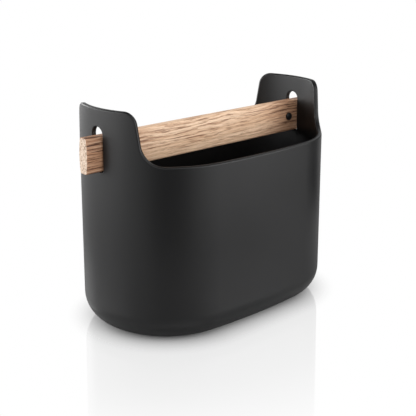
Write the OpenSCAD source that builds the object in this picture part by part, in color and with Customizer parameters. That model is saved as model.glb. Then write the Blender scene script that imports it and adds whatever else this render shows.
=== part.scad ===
// Open tool caddy: a moulded oval tub whose two ends rise into ears,
// and an oak bar handle that lies in a slot in each ear, held by a peg inside each end.
// Millimetres, +Z up, +X along the handle. The origin is the middle of the base.

/* [Tub] */
// Length of the tub over its two ends, at the rim
tub_length = 253.2; // [215:0.1:340]
// Width of the tub over its two long sides, at the rim
tub_width = 161.6; // [125:0.1:190]
// How far each long side bows out past a straight line between the end curves
side_bow = 2.2; // [0.8:0.1:8]
// Height of the level rim along the long sides
rim_height = 160; // [120:0.5:175]
// Thickness of the wall, ears included
wall = 4.6; // [3:0.1:7]
// Thickness of the floor
floor_thickness = 5; // [3:0.1:8]
// Lean of the walls away from upright, for release from the mould
draft = 0.3; // [0.2:0.1:1.5]
// Outside radius where the walls turn into the base
base_radius = 25.5; // [12:0.5:30]
// Width of the flat ring that the tub stands on
foot_width = 8; // [5:0.5:14]
// How deep the middle of the underside is set back from the ring
base_recess = 1.2; // [0.6:0.1:2]

/* [Ears] */
// Height of the top of the ears
ear_height = 206; // [198:0.5:235]
// Width of each ear across its top, before the corners are rounded
ear_width = 76.8; // [60:0.2:90]
// Lean of the sides of each ear towards its middle
ear_lean = 9; // [2:0.5:12]
// Radius of the two top corners of each ear
ear_corner = 12.5; // [5:0.5:18]
// Radius of the sweep from each side of an ear down into the rim
ear_sweep = 20.5; // [8:0.5:24]
// Height of each ear above the crown of its slot
ear_over_slot = 16; // [8:0.1:24]

/* [Handle] */
// How far each end of the bar stands out past the tub
bar_overhang = 15; // [8:0.1:30]
// Height of the bar
bar_height = 31.6; // [22:0.2:36]
// Thickness of the bar at its middle
bar_thickness = 11.6; // [9:0.1:16]
// How far each broad face of the bar is crowned
bar_crown = 1.4; // [0.5:0.1:2]
// Radius of the four long edges of the bar
bar_edge = 2; // [1:0.1:3]
// Gap between the bar and each side of its slots
slot_clearance = 1.1; // [0.8:0.05:2.5]
// Height from the top of the bar, as it lies, to the crown of each slot
lift_room = 7.8; // [7:0.1:14]

/* [Pegs] */
// Diameter of each peg
peg_diameter = 7.5; // [4:0.1:9]
// How far each end of a peg stands proud of the bar
peg_proud = 2.3; // [1.8:0.1:4]
// Height of the dome on each end of a peg
peg_dome = 0.9; // [0.4:0.1:1.5]
// Gap between each peg and the inside of its ear
peg_setback = 7.5; // [1:0.1:12]
// Radial clearance of each peg in its hole
peg_clearance = 0.04; // [0.02:0.01:0.1]

/* [Hidden] */
$fn = 96;
eps = 1;          // how far a cutting shape runs past the face that it cuts
end_steps = 40;   // straight steps in each end curve of the oval
side_steps = 8;   // straight steps in each long side of the oval
corner_steps = 8; // straight steps up each rounded lower corner
edge_steps = 12;  // straight steps in each rounded corner of an ear, and in each half of an arch
crown_sides = 360; // sides of the large circles that crown the bar

// Plan of the tub: an oval of four arcs that meet smoothly
half_length = tub_length / 2;
half_width = tub_width / 2;
end_arc = half_width - side_bow;
end_centre = half_length - end_arc;
side_centre = (end_centre * end_centre - side_bow * side_bow) / (2 * side_bow);
side_arc = half_width + side_centre;
meet_angle = atan2(side_centre, end_centre);

// Section of the tub
wall_run = wall / cos(draft);
cavity_radius = max(base_radius - wall, 1);
base_inset = draft_inset(base_radius) + base_radius / cos(draft);
recess_inset = base_inset + foot_width;

// Edges of the ears, which are square to the wall. Each lies along a line from
// the centre of the end curve, and is drawn by its distance from that line.
ear_turn = asin(ear_width / 2 / (end_arc - draft_inset(ear_height)));
corner_z = ear_height - ear_corner;
corner_y = ear_side(corner_z) - ear_corner / cos(ear_lean);
sweep_z = rim_height + ear_sweep;
sweep_y = ear_side(sweep_z) + ear_sweep / cos(ear_lean);

// Bar and slots
bar_length = tub_length + 2 * bar_overhang;
slot_width = bar_thickness + 2 * slot_clearance;
slot_height = bar_height + lift_room;
slot_floor = ear_height - ear_over_slot - slot_height;
crown_arc = (bar_height * bar_height / 4 + bar_crown * bar_crown) / (2 * bar_crown);
bar_middle = slot_floor + bar_height / 2;

// Pegs
peg_radius = peg_diameter / 2;
peg_length = bar_thickness + 2 * peg_proud;
peg_x = half_length - wall_run - peg_setback - peg_radius;
dome_arc = (peg_radius * peg_radius + peg_dome * peg_dome) / (2 * peg_dome);

// How far the leaning side of an ear has moved out at height z
function ear_side(z) = (ear_height - z) * tan(ear_lean);

// How far the drafted wall has moved in at height z, measured from the rim
function draft_inset(z) = (rim_height - z) * tan(draft);

// Points of an arc about a centre, with or without its last one
function arc_points(centre, radius, from, to, steps, last = true) = [
    for (i = [0 : last ? steps : steps - 1])
        let (angle = from + (to - from) * i / steps)
            centre + radius * [cos(angle), sin(angle)]
];

// The oval plan, set in by inset, as one closed outline
function oval(inset) = concat(
    arc_points([end_centre, 0], end_arc - inset, -meet_angle, meet_angle, end_steps, false),
    arc_points([0, -side_centre], side_arc - inset, meet_angle, 180 - meet_angle, side_steps, false),
    arc_points([-end_centre, 0], end_arc - inset, 180 - meet_angle, 180 + meet_angle, end_steps, false),
    arc_points([0, side_centre], side_arc - inset, 180 + meet_angle, 360 - meet_angle, side_steps, false)
);

// Skins a stack of [height, outline] sections, all with as many points
module skin(sections) {
    count = len(sections[0][1]);
    last = len(sections) - 1;
    polyhedron(
        points = [for (s = sections, p = s[1]) [p.x, p.y, s[0]]],
        faces = concat(
            [[for (i = [0 : count - 1]) i]],
            [for (k = [0 : last - 1], i = [0 : count - 1])
                let (a = k * count, j = (i + 1) % count)
                    [a + i, a + count + i, a + count + j, a + j]],
            [[for (i = [count - 1 : -1 : 0]) last * count + i]]
        )
    );
}

// A drafted solid with the plan of the tub, set in from its outside by inset,
// with its lower corner rounded
module oval_body(inset, bottom, top, corner) {
    corner_z = bottom + corner;
    corner_inset = inset + draft_inset(corner_z) + corner / cos(draft);
    skin(concat(
        [for (i = [0 : corner_steps])
            let (angle = (90 - draft) * i / corner_steps)
                [corner_z - corner * cos(angle), oval(corner_inset - corner * sin(angle))]],
        [[top, oval(inset + draft_inset(top))]]
    ));
}

// What is cut away beside an ear, seen square to the wall
module beside_ear() {
    reach = half_length;
    polygon(concat(
        arc_points([sweep_y, sweep_z], ear_sweep, 270, 180 + ear_lean, edge_steps),
        arc_points([corner_y, corner_z], ear_corner, ear_lean, 90, edge_steps),
        [[corner_y, ear_height + eps], [reach, ear_height + eps], [reach, rim_height]]
    ));
}

// What is cut away above the rim to leave the two ears
module around_ears() {
    for (x = [0, 1], y = [0, 1])
        mirror([x, 0, 0])
            mirror([0, y, 0])
                translate([end_centre, 0, 0])
                    rotate([90, 0, 90 + ear_turn])
                        linear_extrude(height = half_length)
                            beside_ear();
    translate([-end_centre, -half_length, rim_height])
        cube([2 * end_centre, tub_length, ear_height]);
}

// Outline of a slot: a flat floor, straight sides and an arched top
module slot_outline() {
    arch = slot_width / 2;
    polygon(concat(
        [[-arch, 0], [arch, 0]],
        arc_points([0, slot_height - arch], arch, 0, 180, 2 * edge_steps)
    ));
}

// Stretches an outline drawn in Y and Z along X, both ways from the middle
module along_x(length) {
    rotate([90, 0, 90])
        linear_extrude(height = length, center = true)
            children();
}

// Moulded tub with its two slotted ears, in one piece
module tub() {
    past_ends = tub_length + 10 * eps;
    color("#2d2d2e")
        difference() {
            oval_body(0, 0, ear_height, base_radius);
            around_ears();
            oval_body(wall_run, floor_thickness, ear_height + eps, cavity_radius);
            translate([0, 0, -eps])
                linear_extrude(height = base_recess + eps)
                    polygon(oval(recess_inset));
            translate([0, 0, slot_floor])
                along_x(past_ends)
                    slot_outline();
        }
}

// Cross-section of the oak bar: crowned broad faces and rounded long edges
module bar_section() {
    flat = [bar_thickness / 2 - bar_edge, bar_height / 2 - bar_edge];
    intersection() {
        translate([bar_thickness / 2 - crown_arc, 0])
            circle(r = crown_arc, $fn = crown_sides);
        translate([crown_arc - bar_thickness / 2, 0])
            circle(r = crown_arc, $fn = crown_sides);
        union() {
            square([2 * flat.x, bar_height], center = true);
            square([bar_thickness, 2 * flat.y], center = true);
            for (y = [-1, 1], z = [-1, 1])
                translate([y * flat.x, z * flat.y])
                    circle(r = bar_edge);
        }
    }
}

// Oak bar that passes through both ears, with a hole for each peg
module handle_bar() {
    color("#c99b6d")
        difference() {
            translate([0, 0, bar_middle])
                along_x(bar_length)
                    bar_section();
            for (side = [-1, 1])
                translate([side * peg_x, 0, bar_middle])
                    rotate([90, 0, 0])
                        cylinder(r = peg_radius + peg_clearance, h = 2 * bar_thickness, center = true);
        }
}

// Peg through the bar, with a low dome on each end
module peg() {
    shaft = peg_length / 2 - peg_dome;
    color("#161616")
        rotate([90, 0, 0])
            rotate_extrude()
                union() {
                    translate([0, -shaft])
                        square([peg_radius, 2 * shaft]);
                    for (side = [0, 1])
                        mirror([0, side])
                            intersection() {
                                translate([0, peg_length / 2 - dome_arc])
                                    circle(r = dome_arc);
                                translate([0, shaft - eps])
                                    square([peg_radius, peg_dome + 2 * eps]);
                            }
                }
}

// Peg inside the ear at -X
module left_peg() {
    translate([-peg_x, 0, bar_middle])
        peg();
}

// Peg inside the ear at +X
module right_peg() {
    translate([peg_x, 0, bar_middle])
        peg();
}

tub();
handle_bar();
left_peg();
right_peg();
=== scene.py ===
"""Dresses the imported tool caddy: moulded tub, oak bar and its two pegs, floor, light and camera.

The part's lengths are in millimetres and are turned into metres as each mesh is made.
Textures and the studio are in metres.
"""
import math

import bpy
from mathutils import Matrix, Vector
from mathutils.geometry import delaunay_2d_cdt


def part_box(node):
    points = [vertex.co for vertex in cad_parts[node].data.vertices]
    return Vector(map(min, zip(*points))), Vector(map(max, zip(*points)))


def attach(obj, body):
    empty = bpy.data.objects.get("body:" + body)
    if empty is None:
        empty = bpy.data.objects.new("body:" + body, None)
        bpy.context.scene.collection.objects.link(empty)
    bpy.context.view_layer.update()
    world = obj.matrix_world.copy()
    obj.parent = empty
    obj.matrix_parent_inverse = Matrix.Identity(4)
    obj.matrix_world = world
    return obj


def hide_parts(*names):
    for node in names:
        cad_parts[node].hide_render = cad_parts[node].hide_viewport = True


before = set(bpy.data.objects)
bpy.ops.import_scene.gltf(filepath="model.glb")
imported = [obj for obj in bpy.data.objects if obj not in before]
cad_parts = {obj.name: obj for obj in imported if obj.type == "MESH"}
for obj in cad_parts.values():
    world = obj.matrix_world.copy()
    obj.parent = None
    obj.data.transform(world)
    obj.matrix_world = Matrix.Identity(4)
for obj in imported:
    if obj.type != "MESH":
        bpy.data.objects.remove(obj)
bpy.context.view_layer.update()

MM = 0.001


def box_mm(node):
    """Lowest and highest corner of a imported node, in millimetres."""
    return [[round(v / MM, 2) for v in corner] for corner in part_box(node)]


_, tub_high = box_mm("tub")
bar_low, bar_high = box_mm("handle_bar")
peg_low, peg_high = box_mm("right_peg")

# Tub: its outside from the frame, the rest as in the part's source
EAR_HEIGHT = tub_high[2]
RIM = 160.0
WALL = 4.6
FLOOR = 5.0
DRAFT = math.radians(0.3)
HALF_LENGTH = round(tub_high[0] - (EAR_HEIGHT - RIM) * math.tan(DRAFT), 2)
HALF_WIDTH = tub_high[1]
SIDE_BOW = 2.2
BASE_RADIUS = 25.5
FOOT_WIDTH = 8.0
RECESS = 1.2
EAR_WIDTH = 76.8
EAR_LEAN = math.radians(9)
EAR_CORNER = 12.5
EAR_SWEEP = 20.5

# Bar, slots and pegs: as it lies, the bar rests on the floors of the slots
BAR_LENGTH = 2 * bar_high[0]
BAR_THICKNESS = 2 * bar_high[1]
BAR_HEIGHT = round(bar_high[2] - bar_low[2], 2)
BAR_MIDDLE = round((bar_high[2] + bar_low[2]) / 2, 2)
BAR_CROWN = 1.4
SLOT_FLOOR = bar_low[2]
SLOT_CLEARANCE = 1.1
LIFT_ROOM = 7.8
SLOT_WIDTH = round(BAR_THICKNESS + 2 * SLOT_CLEARANCE, 2)
SLOT_HEIGHT = round(BAR_HEIGHT + LIFT_ROOM, 2)
PEG_RADIUS = round((peg_high[2] - peg_low[2]) / 2, 2)
PEG_X = round((peg_high[0] + peg_low[0]) / 2, 2)
PEG_LENGTH = 2 * peg_high[1]
PEG_DOME = 0.9

# Gap round each peg in its hole, a little wider than the source's
PEG_GAP = 0.06
HOLE_RADIUS = round(PEG_RADIUS + PEG_GAP, 2)

# Rounding that the moulding and the sanded oak show
RIM_ROUND = 1.5
SLOT_ROUND = 1.0
SLOT_CORNER = 1.0
FOOT_ROUND = 0.5
BAR_EDGE = 1.7
BAR_END_ROUND = 0.9
HOLE_ROUND = 0.35
PEG_ROUND = 0.5

# Fineness of the meshes: steps round each curve, and spacing where it is straight
LOWER_STEPS = 12
FOOT_STEPS = 4
EAR_CORNER_STEPS = 12
EAR_SWEEP_STEPS = 16
ARCH_STEPS = 20
SLOT_CORNER_STEPS = 4
ROUND_STEPS = 6
WALL_LEVELS = 20
COLUMN_SPACING = 8
RIM_SPACING = 4
EAR_SPACING = 3
SLOT_SPACING = 2.5
BAR_COLUMNS = 70
BAR_ROWS = 8
HOLE_SIDES = 32
PEG_SIDES = 40

# The oval plan: four arcs that meet smoothly
END_ARC = HALF_WIDTH - SIDE_BOW
END_CENTRE = HALF_LENGTH - END_ARC
SIDE_CENTRE = (END_CENTRE**2 - SIDE_BOW**2) / (2 * SIDE_BOW)
SIDE_ARC = HALF_WIDTH + SIDE_CENTRE
MEET = math.atan2(SIDE_CENTRE, END_CENTRE)
HALF_SIDE = math.pi / 2 - MEET

# Angle that each stretch of it turns through, and its radius, from the middle of the front
STRETCHES = (
    (HALF_SIDE, SIDE_ARC),
    (2 * MEET, END_ARC),
    (2 * HALF_SIDE, SIDE_ARC),
    (2 * MEET, END_ARC),
    (HALF_SIDE, SIDE_ARC),
)

WALL_RUN = WALL / math.cos(DRAFT)
CAVITY_RADIUS = BASE_RADIUS - WALL
SKIN_BOTTOM = BASE_RADIUS * (1 - math.sin(DRAFT))


# Mesh helpers


def arc(centre, radius, start, stop, steps):
    """Points of an arc with the outward direction at each, ends included."""
    out = []
    for i in range(steps + 1):
        a = start + (stop - start) * i / steps
        n = Vector((math.cos(a), math.sin(a)))
        out.append((Vector(centre) + radius * n, n))
    return out


def smoothstep(x):
    x = min(max(x, 0.0), 1.0)
    return x * x * (3 - 2 * x)


class Mesh:
    """Collects vertices with their own normals, and faces, in millimetres."""

    def __init__(self):
        self.points, self.normals, self.faces, self.known = [], [], [], {}

    def add(self, point, normal):
        """Index of a vertex; one that is already there, facing the same way, is used again."""
        normal = Vector(normal).normalized()
        key = tuple(round(v, 3) for v in point), tuple(round(v, 2) for v in normal)
        if key not in self.known:
            self.known[key] = len(self.points)
            self.points.append(Vector(point))
            self.normals.append(normal)
        return self.known[key]

    def row(self, pairs):
        return [self.add(p, n) for p, n in pairs]

    def strip(self, a, b, closed=True):
        """Quads between two rows; the rows run so that along x from a to b points out."""
        last = len(a) if closed else len(a) - 1
        for i in range(last):
            j = (i + 1) % len(a)
            self.faces.append((a[i], a[j], b[j], b[i]))

    def fan(self, row, point, normal):
        centre = self.add(point, normal)
        for i in range(len(row)):
            self.faces.append((row[i], row[(i + 1) % len(row)], centre))

    def make(self, name, material):
        mesh = bpy.data.meshes.new(name)
        mesh.from_pydata([p * MM for p in self.points], [], self.faces)
        mesh.validate(clean_customdata=False)
        mesh.shade_smooth()
        mesh.normals_split_custom_set_from_vertices([tuple(n) for n in self.normals])
        mesh.materials.append(material)
        obj = bpy.data.objects.new(name, mesh)
        bpy.context.scene.collection.objects.link(obj)
        return obj


def inside(point, loop):
    """True if a 2-D point is inside a closed loop."""
    x, y = point
    hit = False
    for i in range(len(loop)):
        (x1, y1), (x2, y2) = loop[i - 1], loop[i]
        if (y1 > y) != (y2 > y) and x < x1 + (y - y1) * (x2 - x1) / (y2 - y1):
            hit = not hit
    return hit


def clear_of(point, segments, gap):
    """True if a 2-D point is further than gap from every segment."""
    x, y = point
    for (x1, y1), (x2, y2) in segments:
        if min(x1, x2) - gap > x or max(x1, x2) + gap < x:
            continue
        if min(y1, y2) - gap > y or max(y1, y2) + gap < y:
            continue
        dx, dy = x2 - x1, y2 - y1
        t = ((x - x1) * dx + (y - y1) * dy) / (dx * dx + dy * dy)
        t = min(max(t, 0.0), 1.0)
        if (x - x1 - t * dx) ** 2 + (y - y1 - t * dy) ** 2 < gap * gap:
            return False
    return True


def fill(outer, holes, grid, gap):
    """Triangles of the flat region inside outer and outside the holes.

    Returns the points used (outer, then each hole, then the grid points that
    lie at least gap from every edge) and the triangles, anticlockwise."""
    points, edges = [], []
    for loop in [outer, *holes]:
        first = len(points)
        points += [tuple(p) for p in loop]
        edges += [(first + i, first + (i + 1) % len(loop)) for i in range(len(loop))]
    segments = [(points[a], points[b]) for a, b in edges]
    points += [
        p
        for p in grid
        if inside(p, outer)
        and not any(inside(p, h) for h in holes)
        and clear_of(p, segments, gap)
    ]
    nearest = 1e-6
    verts, _, tris, origin, _, _ = delaunay_2d_cdt(
        [Vector(p) for p in points], edges, [], 0, nearest
    )
    if len(verts) != len(points):
        raise RuntimeError("the outline touches itself")
    kept = []
    for t in tris:
        a, b, c = (points[origin[i][0]] for i in t)
        middle = ((a[0] + b[0] + c[0]) / 3, (a[1] + b[1] + c[1]) / 3)
        if not inside(middle, outer) or any(inside(middle, h) for h in holes):
            continue
        order = [origin[i][0] for i in t]
        area = (b[0] - a[0]) * (c[1] - a[1]) - (c[0] - a[0]) * (b[1] - a[1])
        kept.append(tuple(order if area > 0 else order[::-1]))
    return points, kept


# Tub


def draft_inset(z):
    """How far the drafted wall has moved in at height z, measured from the rim."""
    return (RIM - z) * math.tan(DRAFT)


def oval(phi, inset):
    """Point of the oval plan, set in by inset, where its outward direction is phi."""
    turn = (phi + math.pi / 2) % math.tau - math.pi / 2
    if abs(turn) <= MEET:
        centre, radius = (END_CENTRE, 0), END_ARC
    elif MEET < turn < math.pi - MEET:
        centre, radius = (0, -SIDE_CENTRE), SIDE_ARC
    elif abs(turn - math.pi) <= MEET:
        centre, radius = (-END_CENTRE, 0), END_ARC
    else:
        centre, radius = (0, SIDE_CENTRE), SIDE_ARC
    r = radius - inset
    return Vector((centre[0] + r * math.cos(phi), centre[1] + r * math.sin(phi)))


def run_of(phi):
    """Distance round the outside of the oval at the rim, from the middle of the front."""
    turn = phi + math.pi / 2
    total = 0.0
    for length, radius in STRETCHES:
        step = min(turn, length)
        total += step * radius
        turn -= step
        if turn <= 0:
            break
    return total


def phi_of(run):
    """Outward direction at a distance round the oval: the inverse of run_of."""
    phi = -math.pi / 2
    for length, radius in STRETCHES:
        step = min(run / radius, length)
        phi += step
        run -= step * radius
        if run <= 1e-9:
            break
    return phi


def ear_side(z):
    """How far the leaning side of an ear has moved out at height z."""
    return (EAR_HEIGHT - z) * math.tan(EAR_LEAN)


# The edges of an ear are measured across from lines that turn this far from X
EAR_TURN = math.asin(EAR_WIDTH / 2 / (END_ARC - draft_inset(EAR_HEIGHT)))
CORNER_Z = EAR_HEIGHT - EAR_CORNER
CORNER_Y = ear_side(CORNER_Z) - EAR_CORNER / math.cos(EAR_LEAN)
CORNER_TURN = EAR_TURN + math.asin(CORNER_Y / END_ARC)
SWEEP_Z = RIM + EAR_SWEEP
SWEEP_Y = ear_side(SWEEP_Z) + EAR_SWEEP / math.cos(EAR_LEAN)
SWEEP_TURN = EAR_TURN + math.asin(SWEEP_Y / END_ARC)

# Turns where the cuts change: at a slot and its margin, and where an ear's sweep has ended
SLOT_MARGIN = 2
SLOT_TURN = math.asin((SLOT_WIDTH / 2 + SLOT_MARGIN) / END_ARC)
MATCH_TURN = math.radians(70)


def outer_phi(end, line, across, z):
    """Where the outside has the point that lies across from a line out of an end's centre."""
    return end + line + math.asin(across / (END_ARC - draft_inset(z)))


def inner_phi(phi, z):
    """Where the inside meets a cut that starts outside at phi: along X at a slot, along
    its line at the edge of an ear, and square to the wall along the sides."""
    end = 0.0 if math.cos(phi) > 0 else math.pi
    turn = (phi - end + math.pi) % math.tau - math.pi
    side, turn = math.copysign(1, turn), abs(turn)
    if turn >= MATCH_TURN:
        return phi
    outer = END_ARC - draft_inset(z)
    inner = outer - WALL_RUN
    at_edge = EAR_TURN + math.asin(outer * math.sin(turn - EAR_TURN) / inner)
    if turn > SWEEP_TURN:
        blend = smoothstep((turn - SWEEP_TURN) / (MATCH_TURN - SWEEP_TURN))
        met = at_edge + blend * (turn - at_edge)
    elif turn < CORNER_TURN:
        blend = smoothstep((turn - SLOT_TURN) / (CORNER_TURN - SLOT_TURN))
        at_slot = math.asin(outer * math.sin(turn) / inner)
        met = at_slot + blend * (at_edge - at_slot)
    else:
        met = at_edge
    return end + side * met


def outer_skin(phi, z):
    """Point on the outside of the wall and the direction that it faces."""
    p = oval(phi, draft_inset(z))
    n = (
        math.cos(phi) * math.cos(DRAFT),
        math.sin(phi) * math.cos(DRAFT),
        -math.sin(DRAFT),
    )
    return Vector((p.x, p.y, z)), Vector(n)


def inner_skin(phi, z):
    """Point on the inside of the wall, across from the outside at phi, and its direction."""
    turned = inner_phi(phi, z)
    p = oval(turned, WALL_RUN + draft_inset(z))
    n = (
        -math.cos(turned) * math.cos(DRAFT),
        -math.sin(turned) * math.cos(DRAFT),
        math.sin(DRAFT),
    )
    return Vector((p.x, p.y, z)), Vector(n)


def ear_edge(end):
    """Edge of an ear, from the rim at one side over its top to the rim at the other.

    Each sample turns a distance in from the edge into a place on the outside."""

    def beside(side, p, n):
        def at(off):
            z = p.y - off * n.y
            return outer_phi(end, side * EAR_TURN, side * (p.x - off * n.x), z), z

        return at

    half = arc((CORNER_Y, CORNER_Z), EAR_CORNER, math.pi / 2, EAR_LEAN, EAR_CORNER_STEPS)
    centre = (SWEEP_Y, SWEEP_Z)
    sweep = arc(centre, EAR_SWEEP, math.pi + EAR_LEAN, 1.5 * math.pi, EAR_SWEEP_STEPS)
    sweep = [(p, -n) for p, n in sweep]
    start, stop = half[-1][0], sweep[0][0]
    steps = max(int((start - stop).length / EAR_SPACING), 1)
    half += [(start.lerp(stop, i / steps), half[-1][1]) for i in range(1, steps)]
    half += sweep
    steps = 2 * int(CORNER_TURN * END_ARC / EAR_SPACING)
    flat = [
        lambda off, phi=end + CORNER_TURN * (2 * i / steps - 1): (phi, EAR_HEIGHT - off)
        for i in range(1, steps)
    ]
    left = [beside(-1, p, n) for p, n in reversed(half)]
    return left + flat + [beside(1, p, n) for p, n in half]


def slot_edge():
    """Edge of a slot, anticlockwise, with the direction into the opening."""
    half, c = SLOT_WIDTH / 2, SLOT_CORNER
    top = SLOT_FLOOR + SLOT_HEIGHT - half
    loop = []

    def straight(a, b, n):
        steps = max(int((Vector(b) - Vector(a)).length / SLOT_SPACING), 1)
        for i in range(1, steps):
            loop.append((Vector(a).lerp(Vector(b), i / steps), Vector(n)))

    def corner(centre, start, stop, steps, radius):
        loop.extend((p, -n) for p, n in arc(centre, radius, start, stop, steps))

    corner((-half + c, SLOT_FLOOR + c), math.pi, 1.5 * math.pi, SLOT_CORNER_STEPS, c)
    straight((-half + c, SLOT_FLOOR), (half - c, SLOT_FLOOR), (0, 1))
    corner((half - c, SLOT_FLOOR + c), -math.pi / 2, 0, SLOT_CORNER_STEPS, c)
    straight((half, SLOT_FLOOR + c), (half, top), (-1, 0))
    corner((0, top), 0, math.pi, ARCH_STEPS, half)
    straight((-half, top), (-half, SLOT_FLOOR + c), (1, 0))
    return loop


def wall_edge(mesh, samples, near, far, thickness, rounding):
    """Rounded edge that joins two skins round an opening or along a rim.

    Each sample turns a distance in from the edge into a place on the skins."""

    def place(k, t):
        """t runs from 0 on the near skin to 3 on the far one: rounding, flat, rounding."""
        if t <= 1:
            a = t * math.pi / 2
            off, deep = rounding * (1 - math.sin(a)), rounding * (1 - math.cos(a))
        elif t <= 2:
            off, deep = 0.0, rounding + (t - 1) * (thickness - 2 * rounding)
        else:
            a = (3 - t) * math.pi / 2
            off = rounding * (1 - math.sin(a))
            deep = thickness - rounding * (1 - math.cos(a))
        spot = samples[k % len(samples)](off)
        return near(*spot)[0].lerp(far(*spot)[0], deep / thickness)

    rows = [mesh.row(near(*s(rounding)) for s in samples)]
    rounds = [i / ROUND_STEPS for i in range(ROUND_STEPS + 1)]
    nudge = 0.02
    for t in rounds[1:] + [1.5] + [2 + part for part in rounds[:-1]]:
        pairs = []
        for k in range(len(samples)):
            along = place(k + 1, t) - place(k - 1, t)
            over = place(k, t + nudge) - place(k, t - nudge)
            pairs.append((place(k, t), along.cross(over)))
        rows.append(mesh.row(pairs))
    rows.append(mesh.row(far(*s(rounding)) for s in samples))
    for a, b in zip(rows, rows[1:]):
        mesh.strip(a, b)


def lower_round(inset, bottom, radius, facing):
    """Section of a round between wall and floor, from the top down, as inset, z, direction.

    It faces out of the tub where facing is 1, and into it where facing is -1."""
    centre = inset + draft_inset(BASE_RADIUS) + radius / math.cos(DRAFT)
    out = []
    for i in range(LOWER_STEPS + 1):
        a = (math.pi / 2 - DRAFT) * (1 - i / LOWER_STEPS)
        across, down = math.sin(a), math.cos(a)
        z = bottom + radius * (1 - down)
        out.append((centre - radius * across, z, facing * across, -facing * down))
    return out


def base_section():
    """Outside section from the foot of the wall over the foot ring to the recess."""
    out = lower_round(0, 0, BASE_RADIUS, 1)
    edge, q = out[-1][0] + FOOT_WIDTH, FOOT_ROUND
    turns = [math.pi / 2 * i / FOOT_STEPS for i in range(FOOT_STEPS + 1)]
    for a in turns:
        z = q - q * math.cos(a)
        out.append((edge - q + q * math.sin(a), z, -math.sin(a), -math.cos(a)))
    for a in turns:
        z = RECESS - q + q * math.sin(a)
        out.append((edge + q - q * math.cos(a), z, -math.cos(a), -math.sin(a)))
    return out


def slot_sample(end, p, n):
    """Turns a distance in from a slot's edge into a place on the outside."""

    def at(off):
        z = p.y - off * n.y
        return outer_phi(end, 0, p.x - off * n.x, z), z

    return at


def rim_stretch(start, stop, steps, first=0):
    """Samples of the level rim between two distances round the oval, without the last one."""

    def sample(run):
        phi = phi_of(run)
        return lambda off: (phi, RIM - off)

    return [sample(start + (stop - start) * i / steps) for i in range(first, steps)]


def rim_outline():
    """Edge of the rim and both ears, once round from the middle of the front."""
    shoulders = [
        run_of(outer_phi(end, side * EAR_TURN, side * SWEEP_Y, RIM))
        for end in (0.0, math.pi)
        for side in (-1, 1)
    ]
    front = round(shoulders[0] / RIM_SPACING)
    back = round((shoulders[2] - shoulders[1]) / RIM_SPACING)
    return (
        rim_stretch(0.0, shoulders[0], front)
        + ear_edge(0.0)
        + rim_stretch(shoulders[1], shoulders[2], back, first=1)
        + ear_edge(math.pi)
        + rim_stretch(shoulders[3], run_of(1.5 * math.pi), front, first=1)
    )


def add_walls(mesh, outline, slots, around):
    """Both skins of the wall, filled in a flat pattern: distance round across, height up."""
    length = run_of(1.5 * math.pi)
    rise = RIM - RIM_ROUND - SKIN_BOTTOM
    levels = [SKIN_BOTTOM + rise * i / WALL_LEVELS for i in range(WALL_LEVELS + 1)]
    top = [(run_of(phi), z) for phi, z in (s(RIM_ROUND) for s in outline)]
    right = [(length, z) for z in reversed(levels[1:])]
    bottom = [(length, SKIN_BOTTOM)] + [(x, SKIN_BOTTOM) for x in reversed(around)]
    left = [(0.0, z) for z in levels[1:-1]]
    outer = (top + right + bottom + left)[::-1]
    holes = [
        [(run_of(phi), z) for phi, z in (s(SLOT_ROUND) for s in slot)] for slot in slots
    ]
    ear_rows, ear_spacing, gap = 10, 4.5, 2.2
    heights = levels[1:] + [RIM + ear_spacing * k for k in range(1, ear_rows + 1)]
    grid = [(x, z) for x in around[1:] for z in heights]
    points, tris = fill(outer, holes, grid, gap)
    for skin, turn in ((outer_skin, 1), (inner_skin, -1)):
        ids = [mesh.add(*skin(phi_of(x), z)) for x, z in points]
        mesh.faces += [tuple(ids[i] for i in t)[::turn] for t in tris]


def add_bottom(mesh, skin, section, around):
    """Lower part of one skin: the round, what follows it, and a disc that closes it."""
    out = skin is outer_skin
    turns = [phi_of(x) for x in around]
    row = mesh.row(skin(phi, SKIN_BOTTOM) for phi in turns)
    if not out:
        turns = [inner_phi(phi, SKIN_BOTTOM) for phi in turns]
    rings = []
    for inset, z, n_out, n_up in section[1:]:
        spots = [(phi, oval(phi, inset)) for phi in turns]
        rings.append(
            [
                ((p.x, p.y, z), (math.cos(phi) * n_out, math.sin(phi) * n_out, n_up))
                for phi, p in spots
            ]
        )
    last, level = rings[-1], (0, 0, section[-1][3])
    for scale in (0.8, 0.6, 0.4, 0.2):
        rings.append([((p[0] * scale, p[1] * scale, p[2]), level) for p, _ in last])
    for ring in rings:
        ring = mesh.row(ring)
        mesh.strip(*((ring, row) if out else (row, ring)))
        row = ring
    mesh.fan(row[::-1] if out else row, (0, 0, section[-1][1]), level)


def build_tub(material):
    mesh = Mesh()
    length = run_of(1.5 * math.pi)
    columns = 2 * round(length / COLUMN_SPACING)
    around = [length * i / columns for i in range(columns)]
    outline = rim_outline()
    slots = [[slot_sample(end, p, n) for p, n in slot_edge()] for end in (0.0, math.pi)]
    add_walls(mesh, outline, slots, around)
    wall_edge(mesh, outline, outer_skin, inner_skin, WALL, RIM_ROUND)
    for slot in slots:
        wall_edge(mesh, slot, outer_skin, inner_skin, WALL, SLOT_ROUND)
    add_bottom(mesh, outer_skin, base_section(), around)
    cavity = lower_round(WALL_RUN, FLOOR, CAVITY_RADIUS, -1)
    add_bottom(mesh, inner_skin, cavity, around)
    return mesh.make("tub_moulding", material)


# Bar

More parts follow.
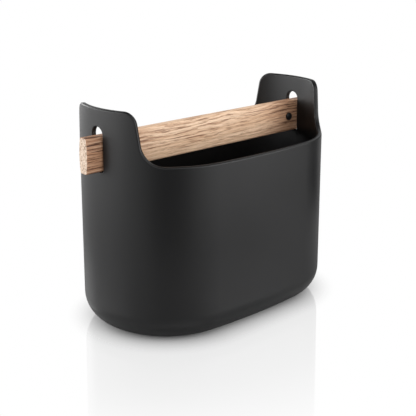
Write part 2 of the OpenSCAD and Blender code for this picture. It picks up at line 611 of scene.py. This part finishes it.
# A broad face is a crowned arc, centred beyond the bar's middle. It meets a rounded edge,
# which is centred at EDGE_Y and EDGE_Z, where it has turned through CROWN_TURN
CROWN_ARC = (BAR_HEIGHT**2 / 4 + BAR_CROWN**2) / (2 * BAR_CROWN)
EDGE_Z = BAR_HEIGHT / 2 - BAR_EDGE
CROWN_CENTRE = CROWN_ARC - BAR_THICKNESS / 2
EDGE_Y = math.sqrt((CROWN_ARC - BAR_EDGE) ** 2 - EDGE_Z**2) - CROWN_CENTRE
CROWN_TURN = math.atan2(EDGE_Z, EDGE_Y + CROWN_CENTRE)


def bar_face(side):
    """A broad face of the bar: distance along it and up it to a point and direction."""

    def at(x, up):
        a = up / CROWN_ARC
        y = CROWN_ARC * math.cos(a) - CROWN_ARC + BAR_THICKNESS / 2
        return (
            Vector((x, side * y, BAR_MIDDLE + CROWN_ARC * math.sin(a))),
            Vector((0, side * math.cos(a), math.sin(a))),
        )

    return at


def bar_narrow(side):
    """A narrow face with its rounded edges, on top for side 1 and below for side -1.

    Points are measured from the middle of the section, each with its direction."""
    first = arc((-EDGE_Y, EDGE_Z), BAR_EDGE, math.pi - CROWN_TURN, math.pi / 2, ROUND_STEPS)
    second = arc((EDGE_Y, EDGE_Z), BAR_EDGE, math.pi / 2, CROWN_TURN, ROUND_STEPS)
    start, up = first[-1]
    flat = [(start + Vector((2 * EDGE_Y * part, 0)), up) for part in (1 / 3, 2 / 3)]
    out = first + flat + second
    if side < 0:
        out = [(-p, -n) for p, n in out]
    return out


def bar_section(front, back, ups):
    """Whole section of the bar, once round, as (across, height) and direction."""
    section = []
    for face, order, side in ((front, ups, 1), (back, ups[::-1], -1)):
        for u in order[:-1]:
            p, n = face(0, u)
            section.append((Vector((p.y, p.z)), Vector((n.y, n.z))))
        narrow = bar_narrow(side)
        section += [(Vector((p.x, BAR_MIDDLE + p.y)), n) for p, n in narrow[:-1]]
    return section


def add_bar_end(mesh, section, end, reach):
    """Softened end: the section closes in as it reaches the end grain."""
    rings = []
    for i in range(ROUND_STEPS + 1):
        a = math.pi / 2 * i / ROUND_STEPS
        off, x = BAR_END_ROUND * (1 - math.cos(a)), reach + BAR_END_ROUND * math.sin(a)
        rings.append(
            mesh.row(
                (
                    (end * x, p.x - off * n.x, p.y - off * n.y),
                    (end * math.sin(a), n.x * math.cos(a), n.y * math.cos(a)),
                )
                for p, n in section
            )
        )
    rim = [mesh.points[i] for i in rings[-1]]
    for scale in (0.66, 0.33):
        rings.append(
            mesh.row(
                ((p.x, p.y * scale, BAR_MIDDLE + (p.z - BAR_MIDDLE) * scale), (end, 0, 0))
                for p in rim
            )
        )
    for a, b in zip(rings, rings[1:]):
        mesh.strip(*((a, b) if end < 0 else (b, a)))
    row = rings[-1] if end < 0 else rings[-1][::-1]
    mesh.fan(row, (end * BAR_LENGTH / 2, 0, BAR_MIDDLE), (end, 0, 0))


def hole_sample(x, angle):
    """Turns a distance out from the edge of a peg's hole into a place on a broad face."""
    return lambda off: (
        x + (HOLE_RADIUS + off) * math.cos(angle),
        (HOLE_RADIUS + off) * math.sin(angle),
    )


def build_bar(material):
    mesh = Mesh()
    reach = BAR_LENGTH / 2 - BAR_END_ROUND
    half_up = CROWN_ARC * CROWN_TURN
    stations = [-reach + 2 * reach * i / BAR_COLUMNS for i in range(BAR_COLUMNS + 1)]
    ups = [-half_up + 2 * half_up * i / BAR_ROWS for i in range(BAR_ROWS + 1)]
    front, back = bar_face(-1), bar_face(1)

    # Broad faces, each with two holes, and the walls of the holes
    turns = [math.tau * i / HOLE_SIDES for i in range(HOLE_SIDES)]
    holes = [[hole_sample(x, angle) for angle in turns] for x in (-PEG_X, PEG_X)]
    outer = [(x, -half_up) for x in stations]
    outer += [(reach, u) for u in ups[1:]]
    outer += [(x, half_up) for x in reversed(stations[:-1])]
    outer += [(-reach, u) for u in reversed(ups[1:-1])]
    grid = [(x, u) for x in stations[1:-1] for u in ups[1:-1]]
    gap = 1.2
    points, tris = fill(outer, [[s(HOLE_ROUND) for s in h] for h in holes], grid, gap)
    for face, turn in ((front, 1), (back, -1)):
        ids = [mesh.add(*face(*p)) for p in points]
        mesh.faces += [tuple(ids[i] for i in t)[::turn] for t in tris]
    for hole in holes:
        wall_edge(mesh, hole, front, back, BAR_THICKNESS, HOLE_ROUND)

    for side in (1, -1):
        rows = [
            mesh.row(((x, p.x, BAR_MIDDLE + p.y), (0, n.x, n.y)) for x in stations)
            for p, n in bar_narrow(side)
        ]
        for a, b in zip(rows, rows[1:]):
            mesh.strip(a, b, closed=False)

    section = bar_section(front, back, ups)
    for end in (-1, 1):
        add_bar_end(mesh, section, end, reach)
    return mesh.make("oak_bar", material)


# Pegs


def half_peg():
    """Half of a peg's outline, from the middle of its domed end, as radius, y and turn."""
    dome = (PEG_RADIUS**2 + PEG_DOME**2) / (2 * PEG_DOME)
    q = PEG_ROUND
    alpha = math.asin((PEG_RADIUS - q) / (dome - q))
    centre = PEG_LENGTH / 2 - dome
    shoulder = centre + (dome - q) * math.cos(alpha)
    out = []
    for i in range(1, ROUND_STEPS + 1):
        a = alpha * i / ROUND_STEPS
        out.append((dome * math.sin(a), centre + dome * math.cos(a), a))
    for i in range(1, ROUND_STEPS + 1):
        a = alpha + (math.pi / 2 - alpha) * i / ROUND_STEPS
        out.append((PEG_RADIUS - q + q * math.sin(a), shoulder + q * math.cos(a), a))
    return out + [(PEG_RADIUS, shoulder * part, math.pi / 2) for part in (0.75, 0.5, 0.25)]


def build_peg(name, x, material):
    mesh = Mesh()
    half = half_peg()
    profile = [(r, -y, math.sin(a), -math.cos(a)) for r, y, a in half]
    profile += [(PEG_RADIUS, 0.0, 1.0, 0.0)]
    profile += [(r, y, math.sin(a), math.cos(a)) for r, y, a in reversed(half)]
    turns = [math.tau * i / PEG_SIDES for i in range(PEG_SIDES)]
    rows = []
    for r, y, nr, ny in profile:
        rows.append(
            mesh.row(
                (
                    (x + r * math.cos(t), y, BAR_MIDDLE + r * math.sin(t)),
                    (nr * math.cos(t), ny, nr * math.sin(t)),
                )
                for t in turns
            )
        )
    for a, b in zip(rows, rows[1:]):
        mesh.strip(b, a)
    mesh.fan(rows[0], (x, -PEG_LENGTH / 2, BAR_MIDDLE), (0, -1, 0))
    mesh.fan(rows[-1][::-1], (x, PEG_LENGTH / 2, BAR_MIDDLE), (0, 1, 0))
    return mesh.make(name, material)


# Material helpers


class Nodes:
    """A short way to write a node tree."""

    def __init__(self, tree):
        self.tree = tree
        tree.nodes.clear()

    def new(self, kind, inputs=None, **settings):
        node = self.tree.nodes.new(kind)
        for key, value in settings.items():
            setattr(node, key, value)
        for key, value in (inputs or {}).items():
            self.set(node.inputs[key], value)
        return node

    def set(self, socket, value):
        if isinstance(value, bpy.types.NodeSocket):
            self.tree.links.new(value, socket)
        else:
            socket.default_value = value

    def math(self, operation, *values, clamp=False):
        node = self.new("ShaderNodeMath", operation=operation, use_clamp=clamp)
        for socket, value in zip(node.inputs, values):
            self.set(socket, value)
        return node.outputs[0]

    def length(self, x, y):
        squares = self.math("ADD", self.math("MULTIPLY", x, x), self.math("MULTIPLY", y, y))
        return self.math("SQRT", squares)

    def place(self, kind="Object"):
        return self.new("ShaderNodeTexCoord").outputs[kind]

    def split(self, vector):
        return self.new("ShaderNodeSeparateXYZ", {"Vector": vector}).outputs

    def noise(self, vector, scale, detail=3.0, roughness=0.5, distortion=0.0):
        node = self.new(
            "ShaderNodeTexNoise",
            {
                "Vector": vector,
                "Scale": scale,
                "Detail": detail,
                "Roughness": roughness,
                "Distortion": distortion,
            },
        )
        return node.outputs["Fac"]

    def stretched_noise(self, vector, scale, detail=3.0, roughness=0.5, distortion=0.0):
        """Noise with a scale of its own along each axis."""
        mapped = self.new("ShaderNodeMapping", {"Vector": vector, "Scale": scale})
        return self.noise(mapped.outputs["Vector"], 1.0, detail, roughness, distortion)

    def remap(self, value, low, high, to_low=0.0, to_high=1.0, smooth=True):
        node = self.new(
            "ShaderNodeMapRange",
            {
                "Value": value,
                "From Min": low,
                "From Max": high,
                "To Min": to_low,
                "To Max": to_high,
            },
            interpolation_type="SMOOTHSTEP" if smooth else "LINEAR",
        )
        return node.outputs["Result"]

    def mix(self, factor, a, b):
        """Mixes two colours: the node lists the inputs of every type, and these are theirs."""
        node = self.new("ShaderNodeMix", data_type="RGBA")
        sockets = (node.inputs[0], node.inputs[6], node.inputs[7])
        for socket, value in zip(sockets, (factor, a, b)):
            self.set(socket, value)
        return node.outputs[2]

    def tint(self, mask, strength, under, colour):
        """Lays a colour over another where a mask says, at a strength."""
        return self.mix(self.math("MULTIPLY", mask, strength), under, colour)

    def mix_shaders(self, factor, a, b):
        return self.new("ShaderNodeMixShader", {0: factor, 1: a, 2: b}).outputs[0]

    def bump(self, height, strength, distance):
        inputs = {"Height": height, "Strength": strength, "Distance": distance}
        return self.new("ShaderNodeBump", inputs).outputs["Normal"]

    def shader(self, kind, inputs=None):
        return self.new(kind, inputs).outputs[0]

    def finish(self, surface, kind="ShaderNodeOutputMaterial"):
        self.new(kind, {"Surface": surface})


def material(name):
    made = bpy.data.materials.new(name)
    made.use_nodes = True
    return made, Nodes(made.node_tree)


def rgb(red, green, blue):
    """A colour written as it shows on a screen, 0 to 255."""

    def linear(c):
        c /= 255
        return c / 12.92 if c <= 0.04045 else ((c + 0.055) / 1.055) ** 2.4

    return (linear(red), linear(green), linear(blue), 1.0)


# Materials


def plastic():
    """Near-black moulded plastic with a fine spark-eroded matte texture."""
    made, n = material("matte_black_plastic")
    place = n.place()
    patches = n.noise(place, scale=14, detail=2)
    fine = n.noise(place, scale=1900, detail=2, roughness=0.6)
    colour = n.mix(n.remap(patches, 0.35, 0.65), rgb(12, 12, 13), rgb(14, 14, 15))
    rough = n.math("ADD", n.remap(patches, 0.3, 0.7, 0.37, 0.41), n.math("MULTIPLY", fine, 0.04))
    normal = n.bump(fine, strength=0.25, distance=0.00008)
    sheen = n.shader(
        "ShaderNodeBsdfPrincipled",
        {
            "Base Color": colour,
            "Roughness": rough,
            "Specular IOR Level": 0.45,
            "Normal": normal,
        },
    )
    matte = n.shader("ShaderNodeBsdfDiffuse", {"Color": colour, "Normal": normal})
    glossy_share = 0.8
    n.finish(n.mix_shaders(glossy_share, matte, sheen))
    return made


def peg_material():
    """Darker, slightly glossier moulded peg."""
    made, n = material("black_peg_plastic")
    place = n.place()
    fine = n.noise(place, scale=1400, detail=2, roughness=0.6)
    patches = n.noise(place, scale=240, detail=2)
    rough = n.remap(patches, 0.3, 0.7, 0.26, 0.36)
    shader = n.shader(
        "ShaderNodeBsdfPrincipled",
        {
            "Base Color": n.mix(fine, rgb(20, 20, 20), rgb(27, 27, 27)),
            "Roughness": rough,
            "Normal": n.bump(fine, strength=0.15, distance=0.00005),
        },
    )
    n.finish(shader)
    return made


# Where the growth rings are centred, across and up from the object's middle, and their width
PITH_Y = -0.021
PITH_Z = 0.118
RING_WIDTH = 0.0034

# Distances from the bar's middle over which it darkens, inside the ears, then outside: partly
# darker, streakier wood and partly painted shade from the ears
INNER_SHADE_AND_DARK_WOOD = (0.052, 0.118)
OUTER_SHADE_AND_DARK_WOOD = (0.120, 0.130)

# Tones of the oak; the two for towards and outside the ears also hold painted shade from the ears
OAK_BANDS = rgb(238, 208, 178), rgb(224, 189, 156)
OAK_PALE = rgb(246, 224, 200)
OAK_FIBRE = rgb(178, 134, 100)
OAK_EARLY = rgb(176, 130, 97)
OAK_PORE = rgb(106, 70, 48)
OAK_STREAKS = rgb(140, 96, 68), rgb(74, 44, 30)
# Painted shade from the ears, mixed with darker wood: towards the ears, and outside them
TOWARD_EARS_WOOD_AND_SHADE = rgb(172, 122, 90)
OUTSIDE_EARS_WOOD_AND_SHADE = rgb(128, 88, 62)
GRAIN_RAYS = rgb(196, 174, 154), rgb(214, 195, 176)
GRAIN_EARLY = rgb(166, 136, 110)
GRAIN_PORE = rgb(120, 90, 68)


def early_wood(n, place, y, z):
    """Porous part of each growth ring: rings about a pith along X, pushed about by noise."""
    sway = n.stretched_noise(place, scale=(6, 22, 22), detail=2)
    wave = n.stretched_noise(place, scale=(22, 75, 75), roughness=0.55)
    ripple = n.stretched_noise(place, scale=(70, 460, 460), detail=2)
    radius = n.length(n.math("SUBTRACT", y, PITH_Y), n.math("SUBTRACT", z, PITH_Z))
    for push, size in ((sway, 0.026), (wave, 0.0085), (ripple, 0.0018)):
        radius = n.math("ADD", radius, n.math("MULTIPLY", n.math("SUBTRACT", push, 0.5), size))
    ring = n.math("FRACT", n.math("MULTIPLY", radius, 1 / RING_WIDTH))
    starts, stops = n.remap(ring, 0.0, 0.14), n.remap(ring, 0.22, 0.75, 1.0, 0.0)
    early = n.math("MULTIPLY", starts, stops)
    plain = n.stretched_noise(place, scale=(11, 90, 90), detail=2)
    return n.math("MULTIPLY", early, n.remap(plain, 0.38, 0.62, 0.25, 1.0))


def end_grain(n, place, early):
    """Colour of the sawn ends: pale rays cross the rings, with pores as specks."""
    specks = n.remap(n.noise(place, scale=620, roughness=0.65), 0.50, 0.62)
    rays = n.stretched_noise(place, scale=(40, 1500, 220), detail=2)
    grain = n.mix(n.remap(rays, 0.35, 0.65), *GRAIN_RAYS)
    grain = n.tint(early, 0.45, grain, GRAIN_EARLY)
    return n.tint(specks, 0.85, grain, GRAIN_PORE)


def oak():
    """Oiled oak: growth rings about a far-off pith, open pores, streaks and end grain, and painted
    shade from the ears towards the bar's ends.
    """
    made, n = material("oiled_oak")
    place = n.place()
    x, y, z = n.split(place)
    early = early_wood(n, place, y, z)

    # Darker, more strongly marked wood towards both ends of the bar, most so outside the ears,
    # with painted shade from the ears laid into its colour there
    along = n.math("ABSOLUTE", x)
    ends = n.remap(along, *INNER_SHADE_AND_DARK_WOOD)
    outer = n.remap(along, *OUTER_SHADE_AND_DARK_WOOD)

    # Pores: short dark strokes along the bar, crowded into the early wood
    pores = n.stretched_noise(place, scale=(110, 2000, 2000), detail=2, roughness=0.6)
    pores = n.remap(pores, 0.50, 0.62)
    pores = n.math("MULTIPLY", pores, n.math("ADD", n.math("MULTIPLY", early, 0.8), 0.2))
    streaks = n.stretched_noise(
        place, scale=(26, 820, 820), detail=4, roughness=0.62, distortion=0.3
    )
    marked = n.math("ADD", streaks, n.math("MULTIPLY", outer, 0.045))
    dark = n.remap(marked, 0.545, 0.645)
    dark = n.math("MULTIPLY", dark, n.math("ADD", n.math("MULTIPLY", ends, 0.28), 0.72))
    pale = n.remap(streaks, 0.46, 0.30)
    fibres = n.stretched_noise(place, scale=(45, 1300, 1300), roughness=0.65)
    bands = n.stretched_noise(place, scale=(7, 150, 150), roughness=0.6)

    colour = n.mix(n.remap(bands, 0.3, 0.7), *OAK_BANDS)
    # Painted shade from the ears, mixed with darker wood, towards the ears and more outside them
    colour = n.tint(ends, 0.78, colour, TOWARD_EARS_WOOD_AND_SHADE)
    colour = n.tint(outer, 0.25, colour, OUTSIDE_EARS_WOOD_AND_SHADE)
    colour = n.tint(pale, 0.40, colour, OAK_PALE)
    colour = n.tint(n.remap(fibres, 0.42, 0.66), 0.48, colour, OAK_FIBRE)
    colour = n.tint(early, 0.55, colour, OAK_EARLY)
    colour = n.mix(dark, colour, n.mix(ends, *OAK_STREAKS))
    colour = n.tint(pores, 0.80, colour, OAK_PORE)

    facing = n.new("ShaderNodeNewGeometry").outputs["True Normal"]
    sawn = n.remap(n.math("ABSOLUTE", n.split(facing)["X"]), 0.75, 0.95)
    colour = n.mix(sawn, colour, end_grain(n, place, early))

    height = n.math("SUBTRACT", n.math("MULTIPLY", fibres, 0.3), pores)
    worn = n.math("ADD", pores, n.math("MULTIPLY", fibres, 0.4))
    shader = n.shader(
        "ShaderNodeBsdfPrincipled",
        {
            "Base Color": colour,
            "Roughness": n.remap(worn, 0.1, 1.0, 0.52, 0.74),
            "Specular IOR Level": 0.35,
            "Normal": n.bump(height, strength=0.5, distance=0.00025),
        },
    )
    n.finish(shader)
    return made


# The part

tub = build_tub(plastic())
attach(tub, "tub_body")
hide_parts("tub")

bar = build_bar(oak())
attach(bar, "handle")
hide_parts("handle_bar")

peg_finish = peg_material()
for side, x in (("left", -PEG_X), ("right", PEG_X)):
    peg = build_peg(side + "_peg_turned", x, peg_finish)
    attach(peg, "handle")
    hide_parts(side + "_peg")


# Studio

# Black paper in the studio, and the share of a sheet over which it fades at each edge
CARD_BLACK = (0.02, 0.02, 0.02, 1)
CARD_FADE = 0.25

# Sectors of the floor that are black in the object's gloss: azimuths and nearest distance
BLACK_SECTORS = (
    {"start": -64, "stop": -18, "near": 0.36},
    {"start": 60, "stop": 90, "near": 0.38},
)
SECTOR_BLUR = 3.0
DISTANCE_BLUR = 0.02

# Distances from the foot over which the lit sheet turns into bare white: seen directly, in gloss
CAMERA_FADE = (0.0, 0.044)
GLOSS_FADE = (0.25, 0.9)

# The floor's mirror image: the part that falls off from the foot and how far out it has
# halved, the part that stays, and the distances over which both end
MIRROR_NEAR = 0.23
MIRROR_HALVING = 0.07
MIRROR_FAR = 0.035
MIRROR_END = (0.09, 0.24)


def outward(azimuth, elevation=0.0):
    """Direction out from the object, in degrees, with azimuth 0 in front and 90 to the right."""
    a, e = math.radians(azimuth), math.radians(elevation)
    return Vector((math.sin(a) * math.cos(e), -math.cos(a) * math.cos(e), math.sin(e)))


def add_facing(name, data, spot, out):
    """Adds a lamp or camera that looks back along out, the direction in which it lies."""
    obj = bpy.data.objects.new(name, data)
    obj.location = spot
    obj.rotation_mode = "QUATERNION"
    obj.rotation_quaternion = out.to_track_quat("Z", "Y")
    bpy.context.scene.collection.objects.link(obj)
    return obj


def black_sector(n, turn, radius, start, stop, near):
    """1 on the floor between two azimuths in degrees and beyond a distance, with soft sides."""

    def side(azimuth, inside, outside):
        low, high = math.radians(azimuth - SECTOR_BLUR), math.radians(azimuth + SECTOR_BLUR)
        return n.remap(turn, low, high, inside, outside)

    between = n.math("MULTIPLY", side(start, 0.0, 1.0), side(stop, 1.0, 0.0))
    beyond = n.remap(radius, near - DISTANCE_BLUR, near + DISTANCE_BLUR)
    return n.math("MULTIPLY", between, beyond)


def from_foot(n, x, y):
    """Distance from the foot of the tub, taken as an oval with straight sides."""
    beyond = n.math("SUBTRACT", n.math("ABSOLUTE", x), END_CENTRE * MM)
    beyond = n.math("MAXIMUM", beyond, 0.0)
    away = n.math("SUBTRACT", n.length(beyond, y), (END_ARC - BASE_RADIUS) * MM)
    return n.math("MAXIMUM", away, 0.0)


def floor_material():
    """White sheet: shadow at the foot of the object, and a mirror image that fades away from it.

    Two sectors of it are black paper in gloss alone."""
    made, n = material("white_studio_floor")
    path = n.new("ShaderNodeLightPath").outputs
    mirrored = n.math("ADD", path["Is Glossy Ray"], path["Is Transmission Ray"], clamp=True)
    x, y, _ = n.split(n.place())
    away = from_foot(n, x, y)

    sheet = n.shader("ShaderNodeBsdfDiffuse", {"Color": (0.5, 0.5, 0.5, 1)})
    white = n.shader("ShaderNodeEmission", {"Color": (1, 1, 1, 1), "Strength": 1.0})
    bare = n.math(
        "ADD",
        n.math("MULTIPLY", path["Is Camera Ray"], n.remap(away, *CAMERA_FADE)),
        n.math("MULTIPLY", mirrored, n.remap(away, *GLOSS_FADE)),
        clamp=True,
    )
    shown = n.mix_shaders(bare, sheet, white)

    turn = n.math("ARCTAN2", x, n.math("MULTIPLY", y, -1.0))
    radius = n.length(x, y)
    dark = n.math("ADD", *(black_sector(n, turn, radius, **s) for s in BLACK_SECTORS))
    dark = n.math("MULTIPLY", dark, path["Is Glossy Ray"])
    paper = n.shader("ShaderNodeBsdfDiffuse", {"Color": CARD_BLACK})
    shown = n.mix_shaders(dark, shown, paper)

    gloss = n.shader("ShaderNodeBsdfGlossy", {"Color": (1, 1, 1, 1), "Roughness": 0.05})
    fall = n.math("ADD", n.math("MULTIPLY", away, 1 / MIRROR_HALVING), 1.0)
    share = n.math("ADD", n.math("DIVIDE", MIRROR_NEAR, fall), MIRROR_FAR)
    share = n.math("MULTIPLY", share, n.remap(away, *MIRROR_END, 1.0, 0.0))
    n.finish(n.mix_shaders(share, shown, gloss))
    return made


def card_material():
    """Black sheet that fades out towards each of its edges."""
    made, n = material("black_card")
    across, up, _ = n.split(n.place("UV"))
    fades = []
    for along in (across, up):
        edge = n.math("MINIMUM", along, n.math("SUBTRACT", 1.0, along))
        fades.append(n.remap(edge, 0.0, CARD_FADE))
    clear = n.shader("ShaderNodeBsdfTransparent")
    dark = n.shader("ShaderNodeBsdfDiffuse", {"Color": CARD_BLACK})
    n.finish(n.mix_shaders(n.math("MULTIPLY", *fades), clear, dark))
    return made


def sheet_of(name, corners, finish):
    """A thin four-cornered sheet in the studio, with its corners in metres."""
    mesh = bpy.data.meshes.new(name)
    mesh.from_pydata(corners, [], [(0, 1, 2, 3)])
    mesh.materials.append(finish)
    across = mesh.uv_layers.new(name="across")
    for spot, uv in zip(across.data, ((0, 0), (1, 0), (1, 1), (0, 1))):
        spot.uv = uv
    obj = bpy.data.objects.new(name, mesh)
    bpy.context.scene.collection.objects.link(obj)
    return obj


def level_sheet(name, finish, reach, height):
    """A square sheet over the object or under it, that reaches as far to each side."""
    corners = [(-reach, -reach), (reach, -reach), (reach, reach), (-reach, reach)]
    return sheet_of(name, [(x, y, height) for x, y in corners], finish)


def wall_card(name, finish, azimuth, distance, width, low, high):
    """An upright sheet that faces the object, between two heights."""
    x, y, _ = outward(azimuth) * distance
    dx, dy, _ = outward(azimuth + 90) * (width / 2)
    corners = [
        (x - dx, y - dy, low),
        (x + dx, y + dy, low),
        (x + dx, y + dy, high),
        (x - dx, y - dy, high),
    ]
    return sheet_of(name, corners, finish)


def softbox(name, size, azimuth, elevation, radiance, distance=1.3):
    """Area light that faces the middle of the object; radiance 1 would show as white."""
    data = bpy.data.lights.new(name, "AREA")
    data.shape = "RECTANGLE"
    data.size, data.size_y = size
    data.energy = radiance * math.pi * size[0] * size[1]
    out = outward(azimuth, elevation)
    middle = Vector((0, 0, 0.1))
    add_facing(name, data, middle + out * distance, out)


def cards():
    """Black sheets that show in gloss alone; the first two reach below the floor."""
    black = card_material()
    made = [
        wall_card(
            "camera_wall_card", black, azimuth=-44, distance=1.25, width=1.0, low=-0.4, high=1.2
        ),
        wall_card(
            "right_wall_card", black, azimuth=85, distance=1.3, width=1.33, low=-0.24, high=0.72
        ),
        wall_card(
            "rim_card", black, azimuth=136, distance=0.35, width=0.29, low=0.225, high=0.675
        ),
        level_sheet("overhead_card", black, reach=0.467, height=0.6),
    ]
    for card in made:
        card.visible_camera = False
        card.visible_diffuse = False
        card.visible_shadow = False


def lamps():
    softbox("left_softbox", size=(1.3, 0.6), azimuth=-122, elevation=10, radiance=4.9)
    softbox("back_left_softbox", size=(0.6, 0.7), azimuth=-172, elevation=13, radiance=5.5)
    softbox("right_softbox", size=(1.0, 0.6), azimuth=26, elevation=11, radiance=4.2)
    softbox("right_strip", size=(0.4, 0.6), azimuth=42, elevation=11, radiance=1.7)
    softbox("high_front_softbox", size=(1.0, 0.6), azimuth=-20, elevation=50, radiance=1.9)


def sky():
    """White to the camera and in gloss, a little less as a light."""
    light_strength, seen_strength = 0.85, 1.0
    world = bpy.data.worlds.new("studio")
    world.use_nodes = True
    n = Nodes(world.node_tree)
    path = n.new("ShaderNodeLightPath").outputs
    seen = n.math("ADD", path["Is Camera Ray"], path["Is Glossy Ray"], clamp=True)
    seen = n.math("ADD", seen, path["Is Transmission Ray"], clamp=True)
    strength = n.remap(seen, 0.0, 1.0, light_strength, seen_strength, smooth=False)
    white = n.shader("ShaderNodeBackground", {"Color": (1, 1, 1, 1), "Strength": strength})
    n.finish(white, "ShaderNodeOutputWorld")
    bpy.context.scene.world = world


# The photograph's viewpoint, fitted to its outlines: in millimetres the point that it looks at
# and how far off it is, its angles in degrees, in pixels the picture's side, the lens and the
# row that is straight ahead, and the sensor's width in millimetres
LOOKED_AT = Vector((3.52, 0, 167.30))
CAMERA_DISTANCE = 897.3
CAMERA_AZIMUTH = -43.31
CAMERA_ELEVATION = 12.44
PICTURE_SIDE = 416
LENS_PIXELS = 947.4
LEVEL_ROW = 130
SENSOR_WIDTH = 36


def camera():
    back = outward(CAMERA_AZIMUTH, CAMERA_ELEVATION)
    data = bpy.data.cameras.new("camera")
    data.sensor_width = SENSOR_WIDTH
    data.lens = LENS_PIXELS * SENSOR_WIDTH / PICTURE_SIDE
    data.shift_y = (LEVEL_ROW - PICTURE_SIDE / 2) / PICTURE_SIDE
    data.clip_start, data.clip_end = 0.01, 100
    spot = (LOOKED_AT + back * CAMERA_DISTANCE) * MM
    bpy.context.scene.camera = add_facing("camera", data, spot, back)


level_sheet("studio_floor", floor_material(), reach=15, height=0)
cards()
lamps()
sky()
camera()
bpy.context.scene.view_settings.view_transform = "Standard"
